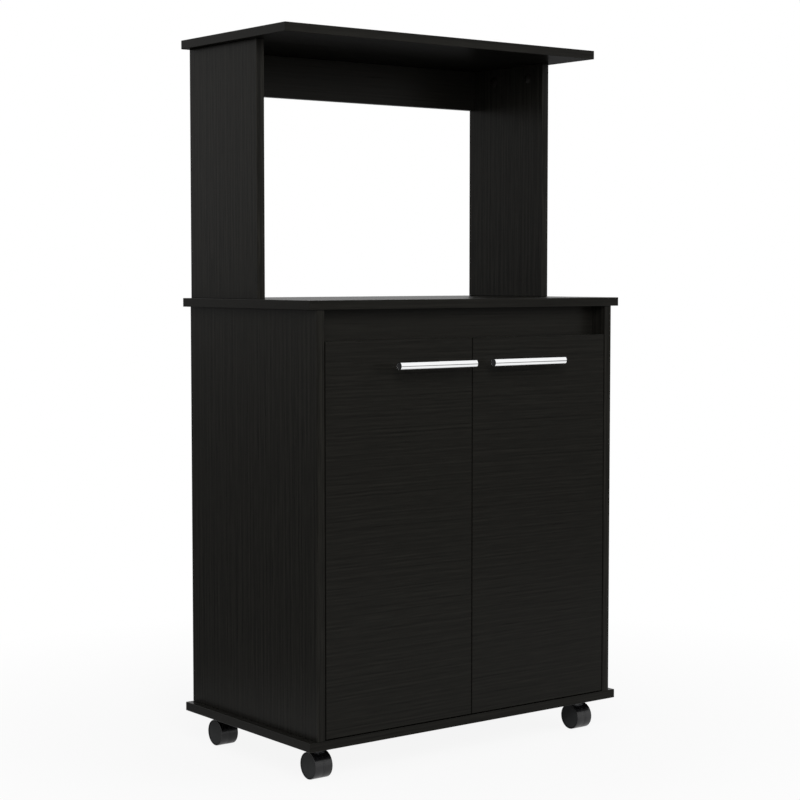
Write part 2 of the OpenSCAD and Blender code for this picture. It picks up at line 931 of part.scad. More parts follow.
module hinge_link() {
    strap_mid = link_z + link_t / 2;
    translate([cup_pin.x, cup_pin.y, 0]) rotate(link_angle)
        difference() {
            union() {
                for (side = [0, 1])
                    mirror([0, 0, side]) translate([0, 0, link_z]) linear_extrude(link_t) link_outline();
                translate([0, 0, -strap_mid]) cylinder(r = sleeve_r, h = 2 * strap_mid);
            }
            translate([0, 0, -cup_d / 2]) cylinder(r = cup_pin_r + run_gap, h = cup_d);
        }
}

module left_hinge_links() {
    color(nickel) at_left_hinges() hinge_link();
}

module right_hinge_links() {
    color(nickel) mirror([1, 0, 0]) at_left_hinges() hinge_link();
}

// Arm: a channel over the mounting plate, with a solid nose that reaches into the cup
module hinge_arm() {
    difference() {
        union() {
            block([pass_gap, arm_y0, -arm_half], [arm_x1, arm_y1, arm_half]);
            linear_extrude(2 * nose_half, center = true) {
                strip(nose_root, nose_p, nose_w);
                translate(nose_p) circle(r = nose_eye_r);
            }
        }
        block([-past, plate_y0 - past, -arm_half + arm_sheet],
              [arm_x1 - arm_sheet, plate_y1, arm_half - arm_sheet]);
        translate([nose_p.x, nose_p.y, 0])
            cylinder(r = cup_pin_r, h = 2 * (nose_half + past), center = true);
        for (y = [clamp_y, adjust_y])
            translate([0, y, 0]) rod_x(arm_screw_d + 2 * fit_gap, 0, arm_x1 + past);
    }
}

module hinge_arms() {
    color(nickel) both_sides() at_left_hinges() hinge_arm();
}

// Mounting plate: a flat cross screwed to the side panel, with a spine inside the arm's channel
module hinge_plate() {
    difference() {
        union() {
            translate([-door_gap, 0, 0]) rotate([90, 0, 90])
                linear_extrude(plate_sheet) plate_outline();
            block([-door_gap, spine_y0, -spine_half], [spine_h, spine_y1, spine_half]);
        }
        plate_screw_places() rod_x(small_screw_d + 2 * fit_gap, -door_gap - past, spine_h);
        for (y = [clamp_y, adjust_y])
            translate([0, y, 0]) rod_x(arm_screw_d + 2 * fit_gap, plate_sheet / 2 - door_gap, spine_h + past);
    }
}

module plate_outline() {
    strip([plate_y0 + plate_half, 0], [plate_y1 - plate_half, 0], 2 * plate_half);
    strip([plate_y, -plate_pitch / 2], [plate_y, plate_pitch / 2], 2 * wing_r);
}

module hinge_plates() {
    color(nickel) both_sides() at_left_hinges() hinge_plate();
}

// Screws of the mounting plates, and the clamping and adjusting screws of the arms
module hinge_screws() {
    color(nickel)
        both_sides() at_left_hinges() {
            plate_screw_places()
                translate([plate_sheet - door_gap, 0, 0]) rotate([0, -90, 0])
                    pan_screw(small_screw_d, plate_screw_l + plate_sheet, small_head_d, small_head_h);
            for (y = [clamp_y, adjust_y])
                translate([arm_x1, y, 0]) rotate([0, -90, 0])
                    pan_screw(arm_screw_d, arm_x1, arm_head_d, arm_head_h);
        }
}

// Puts the children under the base board, at the kingpin of each caster
module at_casters() {
    for (x = [-caster_x, caster_x], y = [front_pin_y, rear_pin_y]) translate([x, y, base_z0]) children();
}

module at_plate_screws() {
    offset = plate_hole_pitch / 2;
    for (x = [-offset, offset], y = [-offset, offset]) translate([x, y, 0]) children();
}

module plate_square() {
    corner_r = (plate_size - plate_hole_pitch) / 2;
    inner = plate_size - 2 * corner_r;
    square([plate_size, inner], center = true);
    square([inner, plate_size], center = true);
    for (x = [-inner / 2, inner / 2], y = [-inner / 2, inner / 2])
        translate([x, y]) circle(r = corner_r);
}

module caster_plates() {
    color(zinc)
        at_casters()
            difference() {
                translate([0, 0, -caster_plate_t]) linear_extrude(caster_plate_t) plate_square();
                translate([0, 0, -caster_plate_t - past])
                    cylinder(r = kingpin_r + fit_gap, h = caster_plate_t + 2 * past);
                at_plate_screws() translate([0, 0, -caster_plate_t - past])
                    cylinder(d = small_screw_d + 2 * fit_gap, h = caster_plate_t + 2 * past);
            }
}

module caster_plate_screws() {
    color(zinc)
        at_casters() at_plate_screws() translate([0, 0, -caster_plate_t])
            pan_screw(small_screw_d, small_screw_l + caster_plate_t, small_head_d, small_head_h);
}

module caster_kingpins() {
    color(zinc)
        at_casters() {
            translate([0, 0, kingpin_tip - base_z0]) cylinder(r = kingpin_r, h = base_z0 - kingpin_tip);
            translate([0, 0, -caster_plate_t - collar_t]) cylinder(r = collar_r, h = collar_t);
        }
}

// Frame of a caster, with its kingpin on the z axis: a boss on the kingpin, over the wheels, and a
// round web that comes down from it between the two wheels and holds their axle
module caster_frame() {
    difference() {
        union() {
            difference() {
                translate([0, 0, wheel_r]) cylinder(r = boss_r, h = boss_top - wheel_r);
                translate([0, -trail, wheel_r]) rod_x(2 * boss_cut_r, -boss_r - past, boss_r + past);
            }
            translate([0, -trail, wheel_r]) rotate([90, 0, 90])
                linear_extrude(web_t, center = true) web_outline();
        }
        translate([0, -trail, wheel_r]) rod_x(2 * (axle_r + fit_gap), -web_t, web_t);
        translate([0, 0, kingpin_tip - pass_gap]) cylinder(r = kingpin_r + run_gap, h = base_z0);
    }
}

module web_outline() {
    circle(r = web_r, $fn = round_fn);
    translate([trail - neck_half, 0]) square([2 * neck_half, neck_h]);
}

// Wheel with its axle on the z axis and its plain face up: a thin disc, a rim and a ribbed hub
module wheel_section() {
    difference() {
        translate([0, wheel_x0]) square([wheel_r, wheel_w]);
        translate([hub_r, wheel_x0 - past])
            square([wheel_r - rim_t - hub_r, wheel_w - disc_t - face_dish + past]);
        translate([-past, wheel_x1 - face_dish]) square([wheel_r - lip_w + past, face_dish + past]);
        translate([-past, wheel_x0 - past])
            square([axle_r + run_gap + past, axle_end + pass_gap - wheel_x0 + past]);
        translate([wheel_r, wheel_x1]) rotate(45)
            square(sqrt(2) * tread_round, center = true);
        translate([wheel_r, wheel_x0]) rotate(45)
            square(sqrt(2) * seam_round, center = true);
    }
}

module wheel() {
    rib_r0 = hub_r - past;
    rib = [wheel_r - rim_t / 2 - rib_r0, rib_t, wheel_x1 - disc_t / 2 - face_dish - rib_x0];
    rotate([0, 90, 0]) {
        rotate_extrude($fn = round_fn) wheel_section();
        for (turn = [1:rib_count])
            rotate(turn * 360 / rib_count) translate([rib_r0, -rib_t / 2, rib_x0]) cube(rib);
    }
}

module axle() {
    rod_x(2 * axle_r, -axle_end, axle_end);
}

// Frame at one corner of the cabinet: side is -1 at the left and 1 at the right
module frame_at(side, pin_y) {
    color(black_plastic) translate([side * caster_x, pin_y, 0]) caster_frame();
}

module axle_at(side, axle_y) {
    color(zinc) translate([side * caster_x, axle_y, wheel_r]) axle();
}

// Wheel on the given face of a caster: face is -1 for the one at the left and 1 at the right
module wheel_at(side, axle_y, face) {
    color(wheel_plastic)
        translate([side * caster_x, axle_y, wheel_r])
            mirror([face < 0 ? 1 : 0, 0, 0]) wheel();
}

base_board();
left_side_panel();
right_side_panel();
worktop();
front_rail();
back_panel();
inner_shelf();
left_post();
right_post();
top_shelf();
apron_rail();
panel_screws();
cam_locks();
cam_covers();
cam_bolts();
dowels();
shelf_pins();
catch_housings();
catch_magnets();
catch_screws();
hinge_plates();
hinge_arms();
hinge_screws();
caster_plates();
caster_plate_screws();
caster_kingpins();
left_door();
left_handle_bar();
left_handle_posts();
left_handle_end_plugs();
left_handle_screws();
left_hinge_cups();
left_hinge_cup_screws();
left_catch_strike();
left_hinge_links();
right_door();
right_handle_bar();
right_handle_posts();
right_handle_end_plugs();
right_handle_screws();
right_hinge_cups();
right_hinge_cup_screws();
right_catch_strike();
right_hinge_links();
frame_at(-1, front_pin_y);  // front_left_caster_frame
axle_at(-1, front_axle_y);  // front_left_caster_axle
wheel_at(-1, front_axle_y, -1);  // front_left_outer_wheel
wheel_at(-1, front_axle_y, 1);  // front_left_inner_wheel
frame_at(1, front_pin_y);  // front_right_caster_frame
axle_at(1, front_axle_y);  // front_right_caster_axle
wheel_at(1, front_axle_y, 1);  // front_right_outer_wheel
wheel_at(1, front_axle_y, -1);  // front_right_inner_wheel
frame_at(-1, rear_pin_y);  // rear_left_caster_frame
axle_at(-1, rear_axle_y);  // rear_left_caster_axle
wheel_at(-1, rear_axle_y, -1);  // rear_left_outer_wheel
wheel_at(-1, rear_axle_y, 1);  // rear_left_inner_wheel
frame_at(1, rear_pin_y);  // rear_right_caster_frame
axle_at(1, rear_axle_y);  // rear_right_caster_axle
wheel_at(1, rear_axle_y, 1);  // rear_right_outer_wheel
wheel_at(1, rear_axle_y, -1);  // rear_right_inner_wheel
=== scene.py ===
import json
import math

import bmesh
import bpy
import numpy as np
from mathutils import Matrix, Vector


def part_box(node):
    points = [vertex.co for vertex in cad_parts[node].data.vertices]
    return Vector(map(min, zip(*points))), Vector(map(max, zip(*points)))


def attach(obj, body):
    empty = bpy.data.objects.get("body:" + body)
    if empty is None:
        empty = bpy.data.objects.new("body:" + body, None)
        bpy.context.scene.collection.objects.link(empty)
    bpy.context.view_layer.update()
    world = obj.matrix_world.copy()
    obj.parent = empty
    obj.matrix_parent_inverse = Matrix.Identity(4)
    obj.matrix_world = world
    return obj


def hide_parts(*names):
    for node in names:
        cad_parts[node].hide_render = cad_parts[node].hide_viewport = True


# Metres, with z up. The doors face -y, and left and right are as seen by someone in front of them.
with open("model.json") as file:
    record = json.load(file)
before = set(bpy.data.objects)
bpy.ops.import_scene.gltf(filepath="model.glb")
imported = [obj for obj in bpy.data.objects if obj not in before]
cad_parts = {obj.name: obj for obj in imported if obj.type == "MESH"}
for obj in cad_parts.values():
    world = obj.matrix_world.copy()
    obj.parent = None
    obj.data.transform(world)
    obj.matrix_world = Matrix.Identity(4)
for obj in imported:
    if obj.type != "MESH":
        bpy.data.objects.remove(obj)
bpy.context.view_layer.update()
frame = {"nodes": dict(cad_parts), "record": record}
nodes = frame["nodes"]
slotOf = {row["node"]: row["material_slot"] for row in frame["record"]["subparts"]}
bodies = frame["record"]["behaviour"]["bodies"]
bodyOf = {node: body for body, members in bodies.items() for node in members}
print("frame loaded:", len(nodes), "nodes")

sides = ["left", "right"]
corners = ["front_left", "front_right", "rear_left", "rear_right"]


def newTree(name):
    material = bpy.data.materials.new(name)
    material.use_nodes = True
    return material, material.node_tree, material.node_tree.nodes["Principled BSDF"]


def addNode(tree, kind, inputs=None, **values):
    node = tree.nodes.new(kind)
    for key, value in values.items():
        setattr(node, key, value)
    for key, value in (inputs or {}).items():
        node.inputs[key].default_value = value
    return node


# Stops are pairs of a place on the ramp and a colour
def addRamp(tree, source, stops):
    ramp = addNode(tree, "ShaderNodeValToRGB")
    tree.links.new(source, ramp.inputs["Fac"])
    elements = ramp.color_ramp.elements
    while len(elements) < len(stops):
        elements.new(0.5)
    for element, (place, colour) in zip(elements, stops):
        element.position = place
        element.color = (*colour, 1)
    return ramp.outputs["Color"]


# Carries a value from one span, start to end, to another, low to high, held at both ends
def addRange(tree, source, low, high, start=0.0, end=1.0):
    spans = {"From Min": start, "From Max": end, "To Min": low, "To Max": high}
    mapped = addNode(tree, "ShaderNodeMapRange", spans)
    tree.links.new(source, mapped.inputs["Value"])
    return mapped.outputs["Result"]


def addMath(tree, operation, *values):
    node = addNode(tree, "ShaderNodeMath", operation=operation)
    for socket, value in zip(node.inputs, values):
        if isinstance(value, (int, float)):
            socket.default_value = value
        else:
            tree.links.new(value, socket)
    return node.outputs["Value"]


def addNoise(tree, vector, scale, detail=3.0, rough=0.5):
    noise = addNode(tree, "ShaderNodeTexNoise", {"Scale": scale, "Detail": detail, "Roughness": rough})
    tree.links.new(vector, noise.inputs["Vector"])
    return noise.outputs["Fac"]


def addBump(tree, shader, height, strength, distance):
    bump = addNode(tree, "ShaderNodeBump", {"Strength": strength, "Distance": distance})
    tree.links.new(height, bump.inputs["Height"])
    tree.links.new(bump.outputs["Normal"], shader.inputs["Normal"])


def objectPlace(tree, place=(0, 0, 0), turn=(0, 0, 0), scale=(1, 1, 1)):
    coords = addNode(tree, "ShaderNodeTexCoord")
    mapping = addNode(tree, "ShaderNodeMapping", {"Location": place, "Rotation": turn, "Scale": scale})
    tree.links.new(coords.outputs["Object"], mapping.inputs["Vector"])
    return mapping.outputs["Vector"]


# Shows a blend of two shaders, in which the share is the second one's
def showBlend(tree, share, first, second):
    blend = addNode(tree, "ShaderNodeMixShader")
    for socket, source in zip(blend.inputs, (share, first, second)):
        tree.links.new(source, socket)
    tree.links.new(blend.outputs["Shader"], tree.nodes["Material Output"].inputs["Surface"])


wenge = {
    "dark": (0.0046, 0.0044, 0.0038),
    "middle": (0.0071, 0.0068, 0.0058),
    "light": (0.0104, 0.0099, 0.0084),
    "spread": 0.175,                  # half the span of the figure that runs from dark to light
    "specular": 0.055,
    "roughness": (0.25, 0.32),
    "bandStretch": (3.0, 330),        # scale along the grain and across it: lines a few millimetres wide
    "bandStep": 0.003,                # half the spacing at which the lines are strongest
    "bandDetail": 3.0,
    "bandGain": 0.87,
    "poreStretch": (18, 700),
    "poreDetail": 2.0,
    "poreShare": 0.5,                 # the pores' share of the figure, the rest being the bands'
    "poreStrength": 0.35,
    "poreDepth": 0.00006,
    "lineRough": 0.6,
    "waver": 0.0025,                  # how far the lines wander
    "waverScale": 7.0,
    "waverDetail": 2.0,
    "skin": 0.0003,                   # depth to which a face has a sheen of its own
    "skinFade": 0.0002,
}


# The offset is the board's place in the figure. Grain runs along x before the turn. Crossing is the
# direction on the board's face in which the lines follow one another. A dull face is given by the height at
# which its fade starts, and by the shares of sheen that are missing below the fade and above it.
def wengeBoard(name, offset, turn=(0, 0, 0), crossing=(0, 1, 0), spread=wenge["spread"], shade=1.0,
               bandStretch=wenge["bandStretch"], bandStep=wenge["bandStep"], dullFace=None):
    material, tree, shader = newTree(name)
    place = objectPlace(tree, offset, turn)
    waver = {"Scale": wenge["waverScale"], "Detail": wenge["waverDetail"]}
    drift = addNode(tree, "ShaderNodeTexNoise", waver)
    tree.links.new(place, drift.inputs["Vector"])
    shift = addNode(tree, "ShaderNodeVectorMath", operation="MULTIPLY_ADD")
    shift.inputs[1].default_value = (wenge["waver"],) * 3
    tree.links.new(drift.outputs["Color"], shift.inputs[0])
    tree.links.new(place, shift.inputs[2])

    def lines(stretch, detail, step=0.0):
        along, across = stretch
        moved = tuple(step * across * part for part in crossing)
        mapping = addNode(tree, "ShaderNodeMapping", {"Scale": (along, across, across), "Location": moved})
        tree.links.new(shift.outputs["Vector"], mapping.inputs["Vector"])
        return addNoise(tree, mapping.outputs["Vector"], 1.0, detail, wenge["lineRough"])

    # The same lines a step further are taken off, which leaves no broad bands
    here = lines(bandStretch, wenge["bandDetail"])
    further = lines(bandStretch, wenge["bandDetail"], bandStep)
    bands = addMath(tree, "MULTIPLY_ADD", addMath(tree, "SUBTRACT", here, further), wenge["bandGain"], 0.5)
    pores = lines(wenge["poreStretch"], wenge["poreDetail"])
    blend = addNode(tree, "ShaderNodeMix", {"Factor": wenge["poreShare"]}, data_type="FLOAT")
    tree.links.new(bands, blend.inputs[2])
    tree.links.new(pores, blend.inputs[3])
    figure = blend.outputs[0]

    # Painted light: this gain scales the tones up, so that a board in shade renders lighter than the same
    # wenge elsewhere
    tones = [tuple(shade * part for part in wenge[tone]) for tone in ("dark", "middle", "light")]
    colour = addRamp(tree, figure, list(zip((0.5 - spread, 0.5, 0.5 + spread), tones)))
    tree.links.new(colour, shader.inputs["Base Color"])
    tree.links.new(addRange(tree, figure, *wenge["roughness"]), shader.inputs["Roughness"])
    shader.inputs["Specular IOR Level"].default_value = wenge["specular"]
    addBump(tree, shader, pores, wenge["poreStrength"], wenge["poreDepth"])
    if dullFace:
        height, missingBelow, missingAbove = dullFace
        axes = addNode(tree, "ShaderNodeSeparateXYZ")
        tree.links.new(objectPlace(tree), axes.inputs[0])
        matt = addNode(tree, "ShaderNodeBsdfDiffuse")
        tree.links.new(colour, matt.inputs["Color"])
        missing = addRange(tree, axes.outputs["Z"], missingBelow, missingAbove, height,
                           height + wenge["skinFade"])
        showBlend(tree, missing, shader.outputs["BSDF"], matt.outputs["BSDF"])
    return material


mottle = {"scale": 60.0, "span": (0.3, 0.7), "bumpStrength": 0.3}


# A finish with a faint mottle in colour and roughness and a fine surface texture
def plainFinish(name, colours, roughness, metallic=0.0, specular=0.5, grain=900.0, depth=0.00002,
                stretch=(1, 1, 1)):
    material, tree, shader = newTree(name)
    place = objectPlace(tree, scale=stretch)
    patches = addNoise(tree, place, mottle["scale"])
    fine = addNoise(tree, place, grain)
    colour = addRamp(tree, patches, list(zip(mottle["span"], colours)))
    tree.links.new(colour, shader.inputs["Base Color"])
    tree.links.new(addRange(tree, patches, *roughness), shader.inputs["Roughness"])
    shader.inputs["Metallic"].default_value = metallic
    shader.inputs["Specular IOR Level"].default_value = specular
    addBump(tree, shader, fine, mottle["bumpStrength"], depth)
    return material


# One look for each material slot, apart from the boards' and the wheels'
finishes = {
    "hardboard": plainFinish("hardboardFibre", [(0.075, 0.045, 0.026), (0.115, 0.072, 0.043)],
                             (0.6, 0.8), specular=0.25, grain=1400.0, depth=0.00008),
    "beech": plainFinish("beechDowel", [(0.46, 0.31, 0.18), (0.6, 0.43, 0.27)],
                         (0.5, 0.65), specular=0.3, grain=500.0, depth=0.00006, stretch=(0.2, 1, 1)),
    "chrome": plainFinish("polishedChrome", [(0.91, 0.915, 0.92), (0.94, 0.945, 0.95)],
                          (0.05, 0.09), metallic=1.0, depth=0.000002),
    "zinc_steel": plainFinish("zincPlate", [(0.5, 0.51, 0.53), (0.62, 0.63, 0.64)],
                              (0.26, 0.4), metallic=1.0),
    "nickel_steel": plainFinish("nickelPlate", [(0.55, 0.53, 0.49), (0.66, 0.64, 0.6)],
                                (0.18, 0.3), metallic=1.0),
    "ferrite": plainFinish("pressedFerrite", [(0.04, 0.04, 0.045), (0.065, 0.065, 0.07)],
                           (0.6, 0.75), specular=0.3),
    "black_plastic": plainFinish("mouldedPlastic", [(0.012, 0.012, 0.013), (0.02, 0.02, 0.021)],
                                 (0.38, 0.5), specular=0.3, grain=2200.0, depth=0.00003),
}
treadFinish = plainFinish("treadNylon", [(0.0035, 0.0035, 0.004), (0.006, 0.006, 0.0068)],
                          (0.2, 0.29), specular=0.52, grain=520.0, depth=0.00003)
discFinish = plainFinish("discNylon", [(0.0215, 0.0225, 0.023), (0.0285, 0.0295, 0.03)],
                         (0.55, 0.7), specular=0.1, grain=2600.0, depth=0.00003)
# Darker than the disc: painted shade for the dark line round the disc's rim, laid on the lip
paintedRimShade = plainFinish("lipNylon", [(0.008, 0.008, 0.0085), (0.011, 0.011, 0.0115)],
                        (0.45, 0.6), specular=0.06, grain=2600.0, depth=0.00003)
plugFinish = plainFinish("plugPlastic", [(0.018, 0.018, 0.019), (0.026, 0.026, 0.027)],
                         (0.5, 0.6), specular=0.25, grain=2400.0)
coverFinish = plainFinish("coverPlastic", [(0.0058, 0.0052, 0.0045), (0.0085, 0.0076, 0.0064)],
                          (0.32, 0.42), specular=0.1, grain=1800.0)


# Clearing the slots would set every face to the first material, so they are filled in place
def dress(thing, *materials):
    filled = thing.data.materials
    for place, material in enumerate(materials):
        if place < len(filled):
            filled[place] = material
        else:
            filled.append(material)


# Each board has its own place in the figure, so that no two show the same grain. The worktop is duller on
# top, and the top shelf underneath. The rails and the standing boards get a lighter colour: painted light
# that makes up for the shade they lie in.
upwards = (0, 0, 1)
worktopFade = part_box("worktop")[1].z - wenge["skin"] - wenge["skinFade"]
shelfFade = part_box("top_shelf")[0].z + wenge["skin"]
lyingBoards = {
    "base_board": {"offset": (0.3, 0.1, 0.2)},
    "worktop": {"offset": (1.7, 0.4, 0.9), "dullFace": (worktopFade, 0.0, 0.36)},
    "front_rail": {"offset": (2.9, 1.3, 0.1), "crossing": upwards, "spread": 0.3, "shade": 1.3},
    "inner_shelf": {"offset": (3.1, 2.2, 1.4)},
    "top_shelf": {"offset": (4.6, 0.7, 2.3), "dullFace": (shelfFade, 0.5, 0.0)},
    "apron_rail": {"offset": (5.2, 1.9, 3.1), "crossing": upwards, "spread": 0.24, "shade": 1.1},
    "left_door": {"offset": (6.4, 2.6, 0.8), "crossing": upwards},
    "right_door": {"offset": (7.9, 3.3, 1.7), "crossing": upwards},
}
standingBoards = {
    "left_side_panel": {"offset": (0.8, 4.1, 0.5)},
    "right_side_panel": {"offset": (1.9, 5.2, 1.3)},
    "left_post": {"offset": (2.7, 6.3, 2.1), "spread": 0.06},
    "right_post": {"offset": (3.6, 7.4, 2.8), "spread": 0.06},
}
standing = {
    "turn": (0, math.radians(90), 0),             # stands the grain up
    # Painted light: the standing boards' colour is lightened by this gain against the shade they stand in
    "spread": 0.1, "shade": 1.15, "bandStretch": (2.4, 230), "bandStep": 0.0045,
}

boards = lyingBoards | {name: standing | own for name, own in standingBoards.items()}
for name, settings in boards.items():
    dress(nodes[name], wengeBoard("wenge_" + name, **settings))
dress(nodes["back_panel"], finishes["hardboard"])
print("boards dressed")


# Quads between neighbouring rows, closed round the columns. A loop joins its last row to its first. Without
# one, each end is closed by a fan to the middle of its row, and the two middles follow the grid's points.
def gridFaces(grid, start, loop, rowSlots):
    rows, columns = grid.shape[:2]
    strips = rows if loop else rows - 1
    row, column = np.meshgrid(np.arange(strips), np.arange(columns), indexing="ij")
    nextRow, nextColumn = (row + 1) % rows, (column + 1) % columns
    quads = np.stack([
        row * columns + column, row * columns + nextColumn,
        nextRow * columns + nextColumn, nextRow * columns + column,
    ], axis=-1).reshape(-1, 4)
    points = grid.reshape(-1, 3)
    faces = (quads + start).tolist()
    slots = np.repeat(np.broadcast_to(rowSlots, strips), columns).tolist()
    if not loop:
        around = np.arange(columns)
        onward = (around + 1) % columns
        lastRow, firstMiddle = (rows - 1) * columns, np.full(columns, rows * columns)
        firstFan = np.stack([onward, around, firstMiddle], axis=-1)
        lastFan = np.stack([lastRow + around, lastRow + onward, firstMiddle + 1], axis=-1)
        faces += (firstFan + start).tolist() + (lastFan + start).tolist()
        slots += [slots[0]] * columns + [slots[-1]] * columns
        points = np.vstack([points, grid[0].mean(axis=0), grid[-1].mean(axis=0)])
    return points, faces, slots


# One piece from one or more grids of points; rowSlots are the places of its materials, strip by strip
def gridPiece(name, grids, body, replaced, materials, loop=False, rowSlots=0):
    points, faces, slots = np.empty((0, 3)), [], []
    for grid in grids:
        morePoints, moreFaces, moreSlots = gridFaces(grid, len(points), loop, rowSlots)
        points = np.vstack([points, morePoints])
        faces += moreFaces
        slots += moreSlots
    mesh = bpy.data.meshes.new(name)
    mesh.from_pydata(points.tolist(), [], faces)
    mesh.polygons.foreach_set("material_index", slots)
    finishPiece(name, mesh, body, [replaced], materials)


smoothing = {"mergeWithin": 0.000001, "sharpAbove": 35}      # metres and degrees


# Merges doubled corners, turns faces outwards, sets soft and sharp edges, and puts the piece on its body
def finishPiece(name, mesh, body, replaced, materials):
    work = bmesh.new()
    work.from_mesh(mesh)
    bmesh.ops.remove_doubles(work, verts=work.verts, dist=smoothing["mergeWithin"])
    bmesh.ops.recalc_face_normals(work, faces=work.faces)
    work.to_mesh(mesh)
    work.free()
    mesh.shade_smooth()
    mesh.set_sharp_from_angle(angle=math.radians(smoothing["sharpAbove"]))
    piece = bpy.data.objects.new(name, mesh)
    bpy.context.scene.collection.objects.link(piece)
    dress(piece, *materials)
    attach(piece, body)
    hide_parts(*replaced)


# Profile rows (along, radius) carried round a line along x through the centre: from the centre, x is the
# distance along times the direction, and y and z are the radius times the cosine and the sine of the angle
def turned(profile, centre, segments, direction=1):
    angle = np.linspace(0, 2 * np.pi, segments, endpoint=False)
    along = np.repeat(profile[:, :1], segments, axis=1) * direction
    radius = profile[:, 1:2]
    return np.stack([along, radius * np.cos(angle), radius * np.sin(angle)], axis=-1) + centre


# Arc of profile rows: from the arc's centre, along and radius are its own radius times the cosine and the
# sine of an angle in degrees
def cornerArc(centre, radius, start, end, steps=6):
    angle = np.radians(np.linspace(start, end, steps))
    return np.stack([centre[0] + radius * np.cos(angle), centre[1] + radius * np.sin(angle)], axis=-1)


def middleOf(box):
    return np.array([(a + b) / 2 for a, b in zip(*box)])


handleTube = {"wall": 0.001, "rim": 0.0001, "segments": 96}
endPlug = {
    "gap": 0.0001, "recess": 0.0002, "length": 0.0048, "rim": 0.0004, "segments": 64,
    "dish": 0.0005, "dishMiddle": 0.0008,     # the dish's depth, and the radius of its innermost ring
    "dishFloor": 0.5,                         # share of the plug's radius that the dish's floor takes
    "dishBend": (0.6, 0.62),                  # shares of the depth and of the radius where its side bends
}

for side in sides:
    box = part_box(side + "_handle_bar")
    centre = middleOf(box)
    half, radius = (box[1].x - box[0].x) / 2, (box[1].z - box[0].z) / 2
    rim, bore = handleTube["rim"], radius - handleTube["wall"]
    tubeRows = np.vstack([
        cornerArc((half - rim, radius - rim), rim, 90, 0),
        cornerArc((half - rim, bore + rim), rim, 0, -90),
        cornerArc((-half + rim, bore + rim), rim, -90, -180),
        cornerArc((-half + rim, radius - rim), rim, 180, 90),
    ])
    gridPiece(side + "HandleTube", [turned(tubeRows, centre, handleTube["segments"])], side + "_door",
              side + "_handle_bar", [finishes["chrome"]], loop=True)

    # Plugs: a rounded rim round a shallow dish, one at each end of the tube
    plugRadius, face = bore - endPlug["gap"], half - endPlug["recess"]
    dish, rim = endPlug["dish"], endPlug["rim"]
    bendDepth, bendRadius = dish * endPlug["dishBend"][0], plugRadius * endPlug["dishBend"][1]
    plugRows = np.vstack([
        [[face - dish, endPlug["dishMiddle"]], [face - dish, plugRadius * endPlug["dishFloor"]],
         [face - bendDepth, bendRadius]],
        cornerArc((face - rim, plugRadius - rim), rim, 0, 90),
        [[face - endPlug["length"], plugRadius]],
    ])
    pair = [turned(plugRows, centre, endPlug["segments"], direction) for direction in (-1, 1)]
    gridPiece(side + "HandlePlugs", pair, side + "_door", side + "_handle_end_plugs",
              [plugFinish])
print("handles made")


wheel = {
    "outerRound": 0.001, "seamRound": 0.0001,     # of the tread's outer edge, and of its edge at the web
    "lip": 0.0022, "lipSlope": 0.0006,            # width of the lip round the disc, and of its slope
    "lipDrop": 0.0001,                            # how much lower the lip is where the slope starts
    "dish": 0.0007, "disc": 0.0022,               # the disc's distance behind the face, and its thickness
    "crown": 0.0001, "crownRings": (0.001, 0.006),    # rise of the disc's middle, and the radii it spans
    "rim": 0.003, "hub": 0.006,                   # thickness of the rim, and the hub's radius
    "bore": 0.00305, "cap": 0.0022,               # the axle's bore, and what closes it on the outside
    "segments": 120,
}

for corner in corners:
    frameX = middleOf(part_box(corner + "_caster_frame"))[0]
    for face in ("outer", "inner"):
        name = corner + "_" + face + "_wheel"
        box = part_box(name)
        radius = (box[1].z - box[0].z) / 2
        width = box[1].x - box[0].x
        start = middleOf(box)
        direction = 1 if start[0] > frameX else -1
        start[0] -= direction * width / 2         # profile's zero is the wheel's face beside the web
        dishFace, lipRadius = width - wheel["dish"], radius - wheel["lip"]
        innerRing, outerRing = wheel["crownRings"]
        discRows = np.array([
            [dishFace + wheel["crown"], innerRing], [dishFace, outerRing],
            [dishFace, lipRadius - wheel["lipSlope"]], [width - wheel["lipDrop"], lipRadius],
        ])
        outer, seam = wheel["outerRound"], wheel["seamRound"]
        treadRows = np.vstack([
            cornerArc((width - outer, radius - outer), outer, 0, 90),
            cornerArc((seam, radius - seam), seam, 90, 180),
        ])
        hollow, rimRadius = dishFace - wheel["disc"], radius - wheel["rim"]
        innerRows = np.array([
            [0, rimRadius], [hollow, rimRadius], [hollow, wheel["hub"]],
            [0, wheel["hub"]], [0, wheel["bore"]], [width - wheel["cap"], wheel["bore"]],
        ])
        profile = np.vstack([discRows, treadRows, innerRows])

        # Looks are tread 0, disc 1 and lip 2; the lip's darker colour is painted shade for the dark line at
        # the disc's rim.
        # Strips: two of disc, two of lip, the tread and the inside.
        rowSlots = [1] * (len(discRows) - 2) + [2, 2] + [0] * (len(treadRows) - 1) + [1] * len(innerRows)
        gridPiece(corner.replace("_", "") + face.capitalize() + "Wheel",
                  [turned(profile, start, wheel["segments"], direction)], name, name,
                  [treadFinish, discFinish, paintedRimShade], rowSlots=rowSlots)
print("wheels made")


# Fittings: the solids with their doubled corners merged, so that round faces shade as round
ownLook = {corner + "_caster_frame": treadFinish for corner in corners} | {"cam_covers": coverFinish}
dressed = set(boards) | {"back_panel"}

for node in nodes:
    if node not in dressed and not nodes[node].hide_render:
        look = ownLook.get(node, finishes[slotOf[node]])
        finishPiece(node.replace("_", "") + "Soft", nodes[node].data.copy(), bodyOf[node], [node],
                    [look])
print("fittings made")


# Rim of each caster's web, which fills the seam between the two treads; it joins the frame made above
webRim = {"half": 0.00125, "below": 0.00005, "depth": 0.0012}     # half its width; below is under the tread

